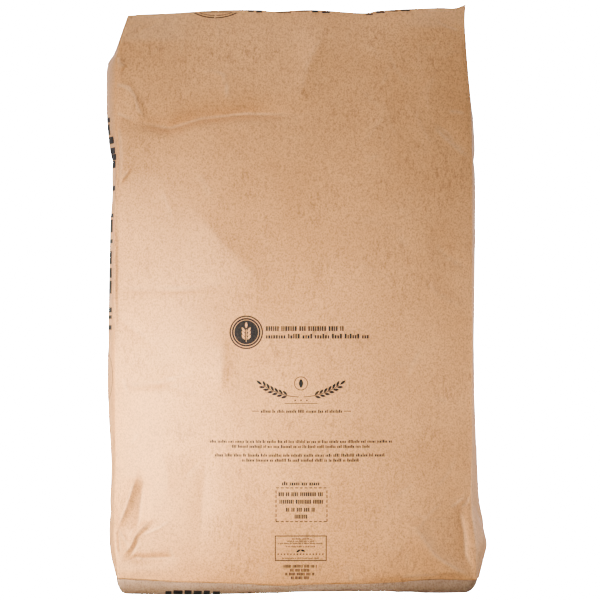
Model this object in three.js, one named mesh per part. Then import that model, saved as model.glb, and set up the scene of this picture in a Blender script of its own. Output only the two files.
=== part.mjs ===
import * as THREE from 'three';

// A full 50 lb sack of bread flour, standing on its flat bottom and seen from its plain back panel.
// It is a gusseted tube of brown kraft paper. Both ends are folded to a flat block and closed by a
// sheet pasted over them. Millimetres, +Z up, the shown panel on the -Y side, +X to its right.

// Driving sizes
const FOLD_HEIGHT = 16; // the bottom fold of the panels, above what the sack stands on
const RIM_HEIGHT = 609; // the top rim of the panels
const SHEET = 0.6; // thickness of a pasted end sheet
const PASTE_GAP = 0.3; // between an end sheet and the sack
const LIP = 1.8; // how far the bottom fold overhangs the end sheet
const TURN_IN = 17; // how far in from the fold the underside is still curving down to flat
const TOP_SAG = 2.5; // the middle of the top end lies this far below its rim
const ARCH = 50; // the lift under the front of the sack reaches this far back
const LEFT_TIGHTNESS = 1.6; // the bottom turns in this many times more tightly at its left end
const RIGHT_TIGHTNESS = 0.9; // and this many at its right end
const EDGE_FADE = 7; // creases of a face die out over this distance from its edges

// Grid of the closed skin: columns over a panel, columns over a gusset, rows up the sack
const PANEL_COLUMNS = 34;
const GUSSET_COLUMNS = 9;
const ROWS = 36;

// A smooth curve through [place, value] pairs, level beyond the first and the last of them.
function through(stations) {
  const slope = stations.map((station, k) => {
    const before = stations[Math.max(k - 1, 0)];
    const after = stations[Math.min(k + 1, stations.length - 1)];
    return (after[1] - before[1]) / (after[0] - before[0]);
  });
  return (place) => {
    const last = stations.length - 1;
    const at = THREE.MathUtils.clamp(place, stations[0][0], stations[last][0]);
    let k = 0;
    while (k < last - 1 && at > stations[k + 1][0]) {
      k += 1;
    }
    const span = stations[k + 1][0] - stations[k][0];
    const t = (at - stations[k][0]) / span;
    const rise = (1 - t) * (1 - t);
    return (
      stations[k][1] * (1 + 2 * t) * rise +
      slope[k] * span * t * rise +
      stations[k + 1][1] * t * t * (3 - 2 * t) +
      slope[k + 1] * span * t * t * (t - 1)
    );
  };
}

function smooth(low, high, value) {
  return THREE.MathUtils.smoothstep(value, low, high);
}

// Outlines by height: the pressed edges of the panels, and how far out the gussets bulge
const leftEdge = through([[16, -187], [60, -191], [140, -190], [300, -191], [480, -191],
  [545, -190], [578, -187], [612, -177]]);
const rightEdge = through([[16, 185], [50, 184], [90, 180], [160, 181], [300, 181.5],
  [470, 181], [520, 179], [590, 174.3], [616, 176]]);
const leftFlank = through([[16, -193], [40, -198.8], [75, -200], [130, -197.9], [212, -202],
  [300, -200.8], [387, -199], [430, -196.8], [500, -202.8], [545, -203.6], [560, -202.4],
  [569, -196], [580, -191], [612, -179]]);
const rightFlank = through([[16, 192], [32, 196.4], [50, 200.6], [70, 197.6], [95, 192.4],
  [130, 190.2], [180, 187.8], [240, 186], [320, 187], [430, 187.8], [480, 186.6], [522, 181.6],
  [550, 177], [590, 175.2], [616, 177]]);

// Depths by height: half the sack's depth at the panel edges, and at the middle of each panel
const edgeDepth = through([[16, 60], [60, 58], [150, 54], [300, 51], [450, 50], [570, 48], [612, 46]]);
const frontBelly = through([[16, 71], [60, 79], [140, 83.5], [230, 84.5], [330, 82], [430, 76.5],
  [500, 70], [560, 62], [585, 57], [612, 46.5]]);
const backBelly = through([[16, 69], [60, 77], [140, 81], [230, 81.5], [330, 79], [430, 73],
  [520, 65], [575, 57], [612, 46.5]]);

// Rims by their place along the panel: the front bottom fold, the front top rim, and the back top
// rim; and how far the front of the underside is lifted off what it stands on
const frontFold = through([[-190, 19], [-120, 15.8], [-60, 14.4], [-20, 12.2], [15, 13.4], [60, 14],
  [100, 15.4], [138, 18.4], [185, 16.8]]);
const frontRim = through([[-178, 605], [-134, 606.6], [-85, 609.6], [-40, 610], [-26, 608.4],
  [14, 610.2], [70, 606.6], [84, 609.2], [150, 612.6], [163, 612.2], [176, 617]]);
const backRim = through([[-178, 607], [-90, 610.5], [0, 608], [95, 611], [176, 609]]);
const frontLift = through([[-120, 0], [-45, 2.2], [-10, 5], [20, 8], [54, 10.4], [80, 8], [105, 5],
  [140, 2], [170, 2]]);

// Creases of the shown panel. A crease runs along its points, each [across, height]. It stands out
// by rise (a valley's rise is negative) and dies away over reach on its left and its right hand.
const frontCreases = [
  // the fill line: a hollow above the flour, from the left edge in a bow to mid-panel
  { rise: -6.4, reach: [34, 12], run: [[-172, 493], [-150, 489], [-134, 486], [-101, 496],
    [-54, 501], [-3, 499]] },
  { rise: 2.4, reach: [9, 16], run: [[-192, 534], [-176, 529], [-169, 518], [-166, 506],
    [-157, 495]] },
  { rise: 1.8, reach: [5, 7], run: [[-190, 503], [-184, 500], [-172, 495]] },
  // the left shoulder, pushed in above the fill
  { rise: 2.4, reach: [10, 14], run: [[-189, 558], [-180, 549]] },
  // soft steps high in the middle
  { rise: 2.2, reach: [30, 22], run: [[25, 584], [10, 549], [-1, 512]] },
  { rise: 1.8, reach: [24, 24], run: [[91, 500], [66, 468]] },
  // a buckle that falls to the right edge
  { rise: -2.6, reach: [18, 26], run: [[139, 492], [156, 481], [163, 470], [178, 462]] },
  // the long soft ridge that bounds the fullest, lower left part
  { rise: 3.4, reach: [34, 48], run: [[-108, 400], [-78, 366], [-50, 338], [-34, 312]] },
  { rise: 2.6, reach: [14, 24], run: [[-78, 268], [-79, 214]] },
  // dents of the left side at mid-height
  { rise: -1.8, reach: [22, 7], run: [[-184, 320], [-151, 317], [-116, 320], [-72, 324]] },
  { rise: -1.4, reach: [12, 12], run: [[-188, 292], [-175, 281], [-145, 258]] },
  { rise: -2.4, reach: [26, 10], run: [[-178, 219], [-150, 221], [-122, 228], [-108, 229]] },
  // waves along the right edge
  { rise: -2.6, reach: [18, 18], run: [[142, 366], [155, 352], [176, 340]] },
  { rise: 2, reach: [18, 20], run: [[132, 330], [144, 314], [172, 300]] },
  // the pinched lower left corner
  { rise: 4.2, reach: [10, 20], run: [[-168, 124], [-178, 94], [-188, 68]] },
  { rise: 3, reach: [8, 9], run: [[-167, 68], [-175, 51], [-185, 38]] },
  { rise: -2.4, reach: [9, 12], run: [[-170, 41], [-159, 38], [-130, 40]] },
  // the pinched lower right corner: a ridge over a three-sided hollow
  { rise: 5.4, reach: [26, 34], run: [[90, 72], [137, 43], [163, 27], [178, 20]] },
  { rise: -3.2, reach: [14, 14], run: [[168, 92], [165, 55], [177, 30]] },
  // the tucks that run up from the bottom fold
  { rise: -1.8, reach: [14, 10], run: [[-36, 37], [-40, 18]] },
  { rise: -2.6, reach: [10, 10], run: [[50, 34], [55, 15]] },
  { rise: -1.8, reach: [20, 26], run: [[-95, 142], [-101, 62]] },
];

// Creases of the hidden faces: the back panel's are [across, height], a gusset's [depth, height]
const backCreases = [
  { rise: -3.2, reach: [26, 44], run: [[-176, 486], [-90, 505], [10, 496], [120, 512], [174, 498]] },
  { rise: 2.8, reach: [30, 30], run: [[-120, 420], [-60, 352], [-42, 290]] },
  { rise: -2.4, reach: [26, 18], run: [[60, 330], [110, 300], [172, 306]] },
  { rise: 3, reach: [26, 26], run: [[-172, 24], [-138, 46], [-96, 78]] },
  { rise: 3, reach: [26, 26], run: [[96, 82], [140, 48], [176, 22]] },
  { rise: -2, reach: [22, 22], run: [[70, 190], [20, 150], [-40, 160]] },
];
const gussetCreases = [
  { rise: -3, reach: [16, 16], run: [[-44, 470], [0, 440], [40, 474]] },
  { rise: 2.2, reach: [12, 12], run: [[-40, 258], [-8, 222], [6, 180]] },
  { rise: -2.4, reach: [14, 14], run: [[-50, 96], [-10, 60], [44, 104]] },
];

// How far a point is from a crease, on which hand of it, and how far along it
function creaseHeight(crease, across, up) {
  const { rise, reach, run } = crease;
  const legs = run.slice(1).map((end, k) => Math.hypot(end[0] - run[k][0], end[1] - run[k][1]));
  const length = legs.reduce((sum, leg) => sum + leg, 0);
  let nearest = { distance: Infinity, left: true, along: 0 };
  let before = 0;
  legs.forEach((leg, k) => {
    const [startX, startZ] = run[k];
    const alongX = (run[k + 1][0] - startX) / leg;
    const alongZ = (run[k + 1][1] - startZ) / leg;
    const x = across - startX;
    const z = up - startZ;
    const t = THREE.MathUtils.clamp(x * alongX + z * alongZ, 0, leg);
    const distance = Math.hypot(x - alongX * t, z - alongZ * t);
    if (distance < nearest.distance) {
      nearest = { distance, left: alongX * z - alongZ * x > 0, along: (before + t) / length };
    }
    before += leg;
  });
  const near = 1 - nearest.distance / (nearest.left ? reach[0] : reach[1]);
  if (near <= 0) {
    return 0;
  }
  const taper = smooth(0, 0.2, nearest.along) * smooth(0, 0.25, 1 - nearest.along);
  return rise * near * near * (0.25 + 0.75 * taper);
}

function relief(creases, across, up) {
  return creases.reduce((sum, crease) => sum + creaseHeight(crease, across, up), 0);
}

// Long shallow waves of the filled paper, the same on every face
function slack(across, up, turn) {
  return (
    0.9 * Math.sin(across / 47 + up / 83 + turn) +
    0.7 * Math.sin(across / 29 - up / 61 + 2 * turn) +
    0.5 * Math.sin(up / 37 + across / 90 + 3 * turn)
  );
}

// Steps from 0 to 1 that lie closer together at both ends
function crowded(count, strength) {
  return Array.from({ length: count + 1 }, (unused, k) => {
    const t = k / count;
    return t - (strength * Math.sin(2 * Math.PI * t)) / (2 * Math.PI);
  });
}

const acrossSteps = crowded(PANEL_COLUMNS, 0.72);
const deepSteps = crowded(GUSSET_COLUMNS, 0.55);
const upSteps = crowded(ROWS, 0.35);

// A point of the shown panel (side -1) or of the back panel (side 1): u from left to right, w up
function panelPoint(side, u, w) {
  const level = THREE.MathUtils.lerp(FOLD_HEIGHT, RIM_HEIGHT, w);
  const x = THREE.MathUtils.lerp(leftEdge(level), rightEdge(level), u);
  const fold = side < 0 ? frontFold(x) : FOLD_HEIGHT;
  const rim = side < 0 ? frontRim(x) : backRim(x);
  const z = THREE.MathUtils.lerp(fold, rim, w);
  const belly = side < 0 ? frontBelly(level) : backBelly(level);
  const crown = 1 - Math.pow(Math.abs(2 * u - 1), 2.5);
  const width = rightEdge(level) - leftEdge(level);
  const inset = Math.min(u, 1 - u) * width;
  const fade = smooth(0, EDGE_FADE, inset) * smooth(0, 0.03, w) * smooth(0, 0.03, 1 - w);
  const creases = side < 0 ? frontCreases : backCreases;
  const bumps = relief(creases, x, z) + slack(x, z, side);
  const depth = THREE.MathUtils.lerp(edgeDepth(level), belly, crown) + fade * bumps;
  return new THREE.Vector3(x, side * depth, z);
}

// A point of the left (side -1) or right (side 1) gusset: v from front to back, w up. The paper
// bulges out between the two panel edges, with the pressed centre fold as a shallow groove.
function gussetPoint(side, v, w) {
  const level = THREE.MathUtils.lerp(FOLD_HEIGHT, RIM_HEIGHT, w);
  const edge = side < 0 ? leftEdge(level) : rightEdge(level);
  const flank = side < 0 ? leftFlank(level) : rightFlank(level);
  const u = side < 0 ? 0 : 1;
  const front = panelPoint(-1, u, w);
  const back = panelPoint(1, u, w);
  const y = THREE.MathUtils.lerp(front.y, back.y, v);
  const z = THREE.MathUtils.lerp(front.z, back.z, v);
  const bulge = Math.pow(Math.sin(Math.PI * v), 0.7);
  const groove = 2.4 * Math.max(0, 1 - Math.abs(v - 0.5) / 0.12) * smooth(0.02, 0.12, w);
  const inset = Math.min(v, 1 - v) * (back.y - front.y);
  const fade = smooth(0, EDGE_FADE, inset) * smooth(0, 0.05, w) * smooth(0, 0.05, 1 - w);
  const bumps = Math.min(0, relief(gussetCreases, side * y, z)) - groove;
  return new THREE.Vector3(THREE.MathUtils.lerp(edge, flank, bulge) + side * fade * bumps, y, z);
}

// A point of an end of the sack, blended from its four rims: u left to right, v front to back
function endPoint(top, u, v) {
  const w = top ? 1 : 0;
  const front = panelPoint(-1, u, w);
  const back = panelPoint(1, u, w);
  const left = gussetPoint(-1, v, w);
  const right = gussetPoint(1, v, w);
  const point = front.clone().lerp(back, v).add(left.clone().lerp(right, u));
  const frontCorners = panelPoint(-1, 0, w).lerp(panelPoint(-1, 1, w), u);
  const backCorners = panelPoint(1, 0, w).lerp(panelPoint(1, 1, w), u);
  point.sub(frontCorners.lerp(backCorners, v));

  // the distance in from the nearest rim, rounded off at the corners
  const inX = Math.min(u, 1 - u) * (right.x - left.x);
  const inY = Math.min(v, 1 - v) * (back.y - front.y);
  const tightness = THREE.MathUtils.lerp(LEFT_TIGHTNESS, RIGHT_TIGHTNESS, u);
  const wide = top ? inX : inX * tightness;
  const inset = wide * inY <= 0 ? 0 : Math.pow(Math.pow(wide, -4) + Math.pow(inY, -4), -0.25);
  if (top) {
    point.z -= TOP_SAG * smooth(0, 45, inset) + mitre(inX, inY);
    return point;
  }

  // the bottom end: a short overhang, then a quarter round down to the flat underside
  const under = SHEET + PASTE_GAP;
  const t = THREE.MathUtils.clamp((inset - LIP) / (TURN_IN - LIP), 0, 1);
  const lip = THREE.MathUtils.clamp(inset / LIP, 0, 1);
  const fromFront = v * (back.y - front.y);
  const lift = frontLift(point.x) * (1 - smooth(TURN_IN / 2, ARCH, fromFront)) * smooth(0, 1, t * 1.6);
  const round = 1 - Math.sqrt(1 - (1 - t) * (1 - t));
  point.z = Math.max(under + (point.z - under - lip) * round, under + lift);
  return point;
}

// The top end's corners are folded in at 45 degrees: the tucked triangle lies a little lower
function mitre(inX, inY) {
  return 1.4 * smooth(0, 5, inY - inX) * smooth(0, 8, Math.min(inX, inY));
}

function geometryOf(points, triangles) {
  const geometry = new THREE.BufferGeometry();
  geometry.setAttribute('position', new THREE.Float32BufferAttribute(points.flatMap((p) => p.toArray()), 3));
  geometry.setIndex(triangles);
  geometry.computeVertexNormals();
  return geometry;
}

// The whole skin of the sack as one closed body: rings round the four faces, and the two ends
function sackGeometry() {
  const ring = 2 * (PANEL_COLUMNS + GUSSET_COLUMNS);
  const points = [];
  const triangles = [];
  const quad = (a, b, c, d) => triangles.push(a, b, c, a, c, d);
  for (const w of upSteps) {
    for (let k = 0; k < PANEL_COLUMNS; k += 1) {
      points.push(panelPoint(-1, acrossSteps[k], w));
    }
    for (let k = 0; k < GUSSET_COLUMNS; k += 1) {
      points.push(gussetPoint(1, deepSteps[k], w));
    }
    for (let k = PANEL_COLUMNS; k > 0; k -= 1) {
      points.push(panelPoint(1, acrossSteps[k], w));
    }
    for (let k = GUSSET_COLUMNS; k > 0; k -= 1) {
      points.push(gussetPoint(-1, deepSteps[k], w));
    }
  }
  for (let row = 0; row < ROWS; row += 1) {
    for (let k = 0; k < ring; k += 1) {
      const next = (k + 1) % ring;
      quad(row * ring + k, row * ring + next, (row + 1) * ring + next, (row + 1) * ring + k);
    }
  }
  for (const top of [false, true]) {
    const rimStart = top ? ROWS * ring : 0;
    const inner = points.length;
    for (let j = 1; j < GUSSET_COLUMNS; j += 1) {
      for (let i = 1; i < PANEL_COLUMNS; i += 1) {
        points.push(endPoint(top, acrossSteps[i], deepSteps[j]));
      }
    }
    const index = (i, j) => {
      if (j === 0) return rimStart + i;
      if (i === PANEL_COLUMNS) return rimStart + PANEL_COLUMNS + j;
      if (j === GUSSET_COLUMNS) return rimStart + 2 * PANEL_COLUMNS + GUSSET_COLUMNS - i;
      if (i === 0) return rimStart + ring - j;
      return inner + (j - 1) * (PANEL_COLUMNS - 1) + i - 1;
    };
    for (let j = 0; j < GUSSET_COLUMNS; j += 1) {
      for (let i = 0; i < PANEL_COLUMNS; i += 1) {
        const [a, b, c, d] = [index(i, j), index(i + 1, j), index(i + 1, j + 1), index(i, j + 1)];
        triangles.push(...(top ? [a, b, c, a, c, d] : [a, c, b, a, d, c]));
      }
    }
  }
  return geometryOf(points, triangles);
}

// The way out of an end at one of its grid points, long enough to clear every facet round it by 1
function wayOut(top, i, j) {
  const corner = (column, row) => endPoint(top, acrossSteps[column], deepSteps[row]);
  const here = corner(i, j);
  const facets = [];
  for (const [di, dj] of [[1, 1], [-1, 1], [-1, -1], [1, -1]]) {
    const along = corner(i + di, j).sub(here).multiplyScalar(di);
    const deep = corner(i, j + dj).sub(here).multiplyScalar(dj);
    facets.push(along.cross(deep).normalize().multiplyScalar(top ? 1 : -1));
  }
  const out = facets.reduce((sum, normal) => sum.add(normal), new THREE.Vector3()).normalize();
  return out.divideScalar(Math.min(...facets.map((normal) => normal.dot(out))));
}

// An end sheet: a closed leaf of paper that follows the end of the sack over the inner grid lines
function sheetGeometry(top, firstColumn, firstRow) {
  const columns = [];
  for (let i = firstColumn; i <= PANEL_COLUMNS - firstColumn; i += 1) {
    columns.push(i);
  }
  const rows = [];
  for (let j = firstRow; j <= GUSSET_COLUMNS - firstRow; j += 1) {
    rows.push(j);
  }
  const points = [];
  const triangles = [];
  for (const stand of [PASTE_GAP, PASTE_GAP + SHEET]) {
    for (const j of rows) {
      for (const i of columns) {
        const base = endPoint(top, acrossSteps[i], deepSteps[j]);
        const point = base.addScaledVector(wayOut(top, i, j), stand);
        point.z = Math.max(point.z, top ? 0 : SHEET + PASTE_GAP - stand);
        points.push(point);
      }
    }
  }
  const width = columns.length;
  const depth = rows.length;
  const at = (layer, i, j) => layer * width * depth + j * width + i;
  const quad = (a, b, c, d) => triangles.push(...(top ? [a, b, c, a, c, d] : [a, c, b, a, d, c]));
  for (let j = 0; j < depth - 1; j += 1) {
    for (let i = 0; i < width - 1; i += 1) {
      quad(at(1, i, j), at(1, i + 1, j), at(1, i + 1, j + 1), at(1, i, j + 1));
      quad(at(0, i, j), at(0, i, j + 1), at(0, i + 1, j + 1), at(0, i + 1, j));
    }
  }
  for (let i = 0; i < width - 1; i += 1) {
    quad(at(0, i, 0), at(0, i + 1, 0), at(1, i + 1, 0), at(1, i, 0));
    quad(at(0, i + 1, depth - 1), at(0, i, depth - 1), at(1, i, depth - 1), at(1, i + 1, depth - 1));
  }
  for (let j = 0; j < depth - 1; j += 1) {
    quad(at(0, 0, j + 1), at(0, 0, j), at(1, 0, j), at(1, 0, j + 1));
    quad(at(0, width - 1, j), at(0, width - 1, j + 1), at(1, width - 1, j + 1), at(1, width - 1, j));
  }
  return geometryOf(points, triangles);
}

function paper(name, geometry, colour) {
  const material = new THREE.MeshStandardMaterial({ color: colour, roughness: 0.82, metalness: 0 });
  const mesh = new THREE.Mesh(geometry, material);
  mesh.name = name;
  return mesh;
}

const flourSack = new THREE.Group();
flourSack.add(paper('sack', sackGeometry(), '#c79a6c'));
flourSack.add(paper('bottom_sheet', sheetGeometry(false, 1, 1), '#b08d6c'));
flourSack.add(paper('top_sheet', sheetGeometry(true, 3, 1), '#b8946f'));

// The sack stands with the middle of its footprint box at the origin
const box = new THREE.Box3().setFromObject(flourSack);
const middle = box.getCenter(new THREE.Vector3());
flourSack.position.set(-middle.x, -middle.y, -box.min.z);

export default flourSack;
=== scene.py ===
import math

import bpy
import numpy as np
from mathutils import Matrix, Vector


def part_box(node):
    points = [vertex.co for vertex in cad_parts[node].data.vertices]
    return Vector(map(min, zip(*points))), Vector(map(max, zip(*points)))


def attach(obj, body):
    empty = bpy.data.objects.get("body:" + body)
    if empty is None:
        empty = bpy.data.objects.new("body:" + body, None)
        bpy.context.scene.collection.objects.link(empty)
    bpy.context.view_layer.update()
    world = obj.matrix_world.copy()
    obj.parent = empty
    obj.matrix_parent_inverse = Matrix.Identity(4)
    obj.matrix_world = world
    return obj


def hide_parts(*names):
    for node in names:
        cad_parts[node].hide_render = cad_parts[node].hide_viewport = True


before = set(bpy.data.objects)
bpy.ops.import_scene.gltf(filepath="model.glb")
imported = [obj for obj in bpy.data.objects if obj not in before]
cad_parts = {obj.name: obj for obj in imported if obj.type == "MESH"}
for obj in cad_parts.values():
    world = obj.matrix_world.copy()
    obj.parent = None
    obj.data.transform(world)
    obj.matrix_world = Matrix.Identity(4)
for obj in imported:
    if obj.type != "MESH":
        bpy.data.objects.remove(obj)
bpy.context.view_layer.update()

MM = 0.001

# The sack itself. The real one is a gusseted tube of several plies of unbleached kraft paper, folded
# to a flat block at both ends, pasted shut and packed tight with flour. All its sizes below are in
# millimetres: +X runs across the shown panel, +Z up it, and the panel faces -Y.
FOLD_HEIGHT = 16.0
RIM_HEIGHT = 609.0
PANEL_WIDTH = 380
GUSSET_DEPTH = 110


def through(*stations):
    """A smooth curve through (place, value) pairs, level beyond the first and the last."""
    places, values = np.array(stations, float).T
    last = len(places) - 1
    before = np.maximum(np.arange(last + 1) - 1, 0)
    after = np.minimum(np.arange(last + 1) + 1, last)
    slopes = (values[after] - values[before]) / (places[after] - places[before])

    def curve(place):
        held = np.clip(place, places[0], places[last])
        k = np.clip(np.searchsorted(places, held, side="left") - 1, 0, last - 1)
        span = places[k + 1] - places[k]
        t = (held - places[k]) / span
        rest = (1 - t) ** 2
        start = values[k] * (1 + 2 * t) * rest + slopes[k] * span * t * rest
        end = values[k + 1] * t * t * (3 - 2 * t) + slopes[k + 1] * span * t * t * (t - 1)
        return start + end

    return curve


def smooth(low, high, value):
    """An even rise from 0 at low to 1 at high."""
    t = np.clip((value - low) / (high - low), 0, 1)
    return t * t * (3 - 2 * t)


left_edge = through((16, -187), (60, -191), (140, -190), (300, -191), (400, -190.5), (430, -189.4),
                    (462, -187.6), (495, -190), (545, -190), (578, -187), (612, -177))
right_edge = through((16, 185), (50, 184), (90, 180), (160, 181), (300, 181.5), (470, 181),
                     (520, 179), (590, 174.3), (616, 176))
left_flank = through((16, -193), (40, -198.8), (75, -200), (130, -197.9), (212, -202),
                     (300, -200.8), (387, -199), (430, -196.8), (500, -202.8), (545, -203.6),
                     (560, -202.4), (569, -196), (580, -191), (612, -179))
right_flank = through((16, 192), (32, 196.4), (50, 200.6), (70, 197.6), (95, 192.4), (130, 190.2),
                      (180, 187.8), (240, 186), (320, 187), (430, 187.8), (480, 186.6),
                      (522, 181.6), (550, 177), (590, 175.2), (616, 177))
edge_depth = through((16, 60), (60, 58), (150, 54), (300, 51), (450, 50), (570, 48), (612, 46))
front_belly = through((16, 71), (60, 79), (140, 83.5), (230, 84.5), (330, 82), (430, 76.5),
                      (500, 70), (560, 62), (585, 57), (612, 46.5))
back_belly = through((16, 69), (60, 77), (140, 81), (230, 81.5), (330, 79), (430, 73), (520, 65),
                     (575, 57), (612, 46.5))
front_fold = through((-190, 19), (-120, 15.8), (-60, 14.4), (-20, 12.2), (15, 13.4), (60, 14),
                     (100, 15.4), (138, 18.4), (185, 16.8))
front_rim = through((-178, 605), (-134, 606.6), (-85, 609.6), (-40, 610), (-26, 608.4),
                    (14, 610.2), (70, 606.6), (84, 609.2), (150, 612.6), (163, 612.2), (176, 617))
back_rim = through((-178, 607), (-90, 610.5), (0, 608), (95, 611), (176, 609))
front_lift = through((-120, 0), (-45, 2.2), (-10, 5), (20, 8), (54, 10.4), (80, 8), (105, 5),
                     (140, 2), (170, 2))

# A crease is its rise (a valley's is negative), how far it dies away on its left and right hand,
# and the points that it runs along, each across and up the panel.
front_creases = [
    # the fill line: a hollow above the flour, from the left edge in a bow to mid-panel
    (-8.0, 30, 12, ((-172, 493), (-150, 489), (-134, 486), (-101, 496), (-54, 501), (-3, 499))),
    (2.4, 9, 16, ((-192, 534), (-176, 529), (-169, 518), (-166, 506), (-157, 495))),
    (-1.8, 6, 4, ((-190, 503), (-184, 500), (-172, 495))),
    (5.4, 76, 8, ((-186, 490), (-184, 458), (-186, 424))),
    # the left shoulder, pushed in above the fill
    (2.4, 10, 14, ((-189, 558), (-180, 549))),
    # soft steps high in the middle
    (2.2, 30, 22, ((25, 584), (10, 549), (-1, 512))),
    (1.8, 24, 24, ((91, 500), (66, 468))),
    # a buckle that falls to the right edge
    (-2.6, 18, 26, ((139, 492), (156, 481), (163, 470), (178, 462))),
    # the long soft ridge that bounds the fullest, lower left part
    (3.4, 34, 48, ((-108, 400), (-78, 366), (-50, 338), (-34, 312))),
    (2.6, 14, 24, ((-78, 268), (-79, 214))),
    # dents of the left side at mid-height
    (-1.8, 22, 7, ((-184, 320), (-151, 317), (-116, 320), (-72, 324))),
    (-1.4, 12, 12, ((-188, 292), (-175, 281), (-145, 258))),
    (-2.4, 26, 10, ((-178, 219), (-150, 221), (-122, 228), (-108, 229))),
    # waves along the right edge
    (-2.6, 18, 18, ((142, 366), (155, 352), (176, 340))),
    (2.0, 18, 20, ((132, 330), (144, 314), (172, 300))),
    # the pinched lower left corner
    (4.2, 10, 20, ((-168, 124), (-178, 94), (-188, 68))),
    (-2.6, 14, 13, ((-160, 122), (-163, 98), (-165.5, 78), (-168, 60))),
    (3.4, 7, 7, ((-155, 78), (-168.5, 64), (-174.5, 51), (-184, 42))),
    (-2.8, 6, 7, ((-187, 70), (-185.5, 54), (-184, 42))),
    (-3.4, 7, 14, ((-176, 38), (-168, 40), (-159, 39), (-130, 41))),
    # the pinched lower right corner: a ridge over a three-sided hollow
    (5.4, 12, 32, ((118, 78), (131, 58), (140.5, 44), (153, 35), (164, 28.5), (180, 20))),
    (-4.4, 8, 32, ((168, 92), (173, 66), (174.5, 44), (180, 28))),
    # the tucks that run up from the bottom fold
    (-1.8, 14, 10, ((-36, 37), (-40, 18))),
    (-2.6, 10, 10, ((50, 34), (55, 15))),
    (-1.8, 20, 26, ((-95, 142), (-101, 62))),
]
back_creases = [
    # the lap of the tube's lengthwise seam
    (1.1, 6, 16, ((24, 20), (24.5, 300), (24, 600))),
    (-3.2, 26, 44, ((-176, 486), (-90, 505), (10, 496), (120, 512), (174, 498))),
    (2.8, 30, 30, ((-120, 420), (-60, 352), (-42, 290))),
    (-2.4, 26, 18, ((60, 330), (110, 300), (172, 306))),
    (3.0, 26, 26, ((-172, 24), (-138, 46), (-96, 78))),
    (3.0, 26, 26, ((96, 82), (140, 48), (176, 22))),
    (-2.0, 22, 22, ((70, 190), (20, 150), (-40, 160))),
]
gusset_creases = [
    (-3.0, 16, 16, ((-44, 470), (0, 440), (40, 474))),
    (2.2, 12, 12, ((-40, 258), (-8, 222), (6, 180))),
    (-2.4, 14, 14, ((-50, 96), (-10, 60), (44, 104))),
]
# finer creases of the shown panel, pressed sharp by handling
fine_creases = [
    (1.3, 4, 5, ((-190, 563), (-186, 556), (-184, 548))),
    (-1.4, 5, 3, ((-190, 532), (-182, 529.5), (-174, 524))),
    (-1.1, 4, 3, ((-177, 594), (-168, 594.6), (-161, 594.4))),
    (-1.2, 5, 4, ((-147, 597), (-153, 592), (-161, 590), (-166, 585))),
    (-0.6, 4, 4, ((-140, 591), (-127, 584), (-126, 578))),
    (1.4, 5, 6, ((-89, 546), (-77, 541), (-72, 514))),
    (-0.5, 4, 3, ((-189, 319), (-170, 318), (-151, 317), (-116, 320), (-80, 322))),
    (1.9, 3, 8, ((-174, 443), (-184, 432))),
    (1.0, 10, 8, ((-141, 421), (-129, 394))),
    (-1.0, 10, 10, ((-150, 225), (-122, 216), (-96, 207))),
    (1.0, 4, 5, ((-183, 226), (-176, 211))),
    (1.8, 4, 5, ((-189, 71), (-181, 60), (-173, 49))),
    (-1.2, 3, 4, ((-166, 63), (-166, 55), (-174, 42))),
    (0.7, 3, 4, ((-153, 77), (-162, 71), (-168, 64))),
    (0.7, 3, 4, ((-130, 80), (-143, 71), (-164, 62))),
    (-0.8, 5, 4, ((-134, 53), (-129, 40))),
    (0.8, 5, 3, ((103, 20.5), (130, 22), (152, 23.4))),
    (-2.2, 4, 5, ((176.5, 105), (177, 100), (174, 95), (168, 91))),
    (0.9, 4, 4, ((158, 92), (166, 97), (174, 103))),
    (-1.2, 5, 4, ((156, 504), (165, 504), (175, 502))),
    (1.3, 9, 4, ((140, 489), (155, 474.5), (169, 463), (180, 456))),
    (-1.6, 10, 4, ((138, 601), (146, 598), (155, 593), (172, 588))),
    (0.9, 14, 14, ((59, 392), (86, 385), (114, 377))),
    (0.9, 12, 12, ((59, 345), (80, 337), (101, 328))),
]


# how a crease tapers at its two ends, and how its ridge is worn
TAPERS = (0.2, 0.25)
END_SHARE = 0.25
WORN_REACH = 1.6
WORN_GAIN = 4


def crease_heights(creases, across, up):
    """The sum of the creases' heights at each point, and how sharply a ridge runs through it."""
    height = np.zeros(across.shape)
    wear_and_sheen = np.zeros(across.shape)
    for rise, left_reach, right_reach, run in creases:
        run = np.array(run, float)
        legs = np.hypot(*np.diff(run, axis=0).T)
        nearest = np.full(across.shape, np.inf)
        left = np.zeros(across.shape, bool)
        along = np.zeros(across.shape)
        before = 0.0
        for start, end, leg in zip(run[:-1], run[1:], legs):
            way_x, way_z = (end - start) / leg
            x = across - start[0]
            z = up - start[1]
            t = np.clip(x * way_x + z * way_z, 0, leg)
            distance = np.hypot(x - way_x * t, z - way_z * t)
            closer = distance < nearest
            nearest = np.where(closer, distance, nearest)
            left = np.where(closer, way_x * z - way_z * x > 0, left)
            along = np.where(closer, (before + t) / legs.sum(), along)
            before += leg
        near = np.clip(1 - nearest / np.where(left, left_reach, right_reach), 0, None)
        taper = smooth(0, TAPERS[0], along) * smooth(0, TAPERS[1], 1 - along)
        height += rise * near**2 * (END_SHARE + (1 - END_SHARE) * taper)
        sharpness = min(abs(rise) / min(left_reach, right_reach) * WORN_GAIN, 1)
        wear_and_sheen = np.maximum(wear_and_sheen, sharpness * taper * np.exp(-((nearest / WORN_REACH) ** 2)))
    return height, wear_and_sheen


# chance creases: half their length, the bend of their middle, their rise and their reach
CHANCE_HALF = (7, 26)
CHANCE_BEND = (-5, 5)
CHANCE_RISE = (0.3, 0.9)
CHANCE_REACH = (5, 17)


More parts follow.
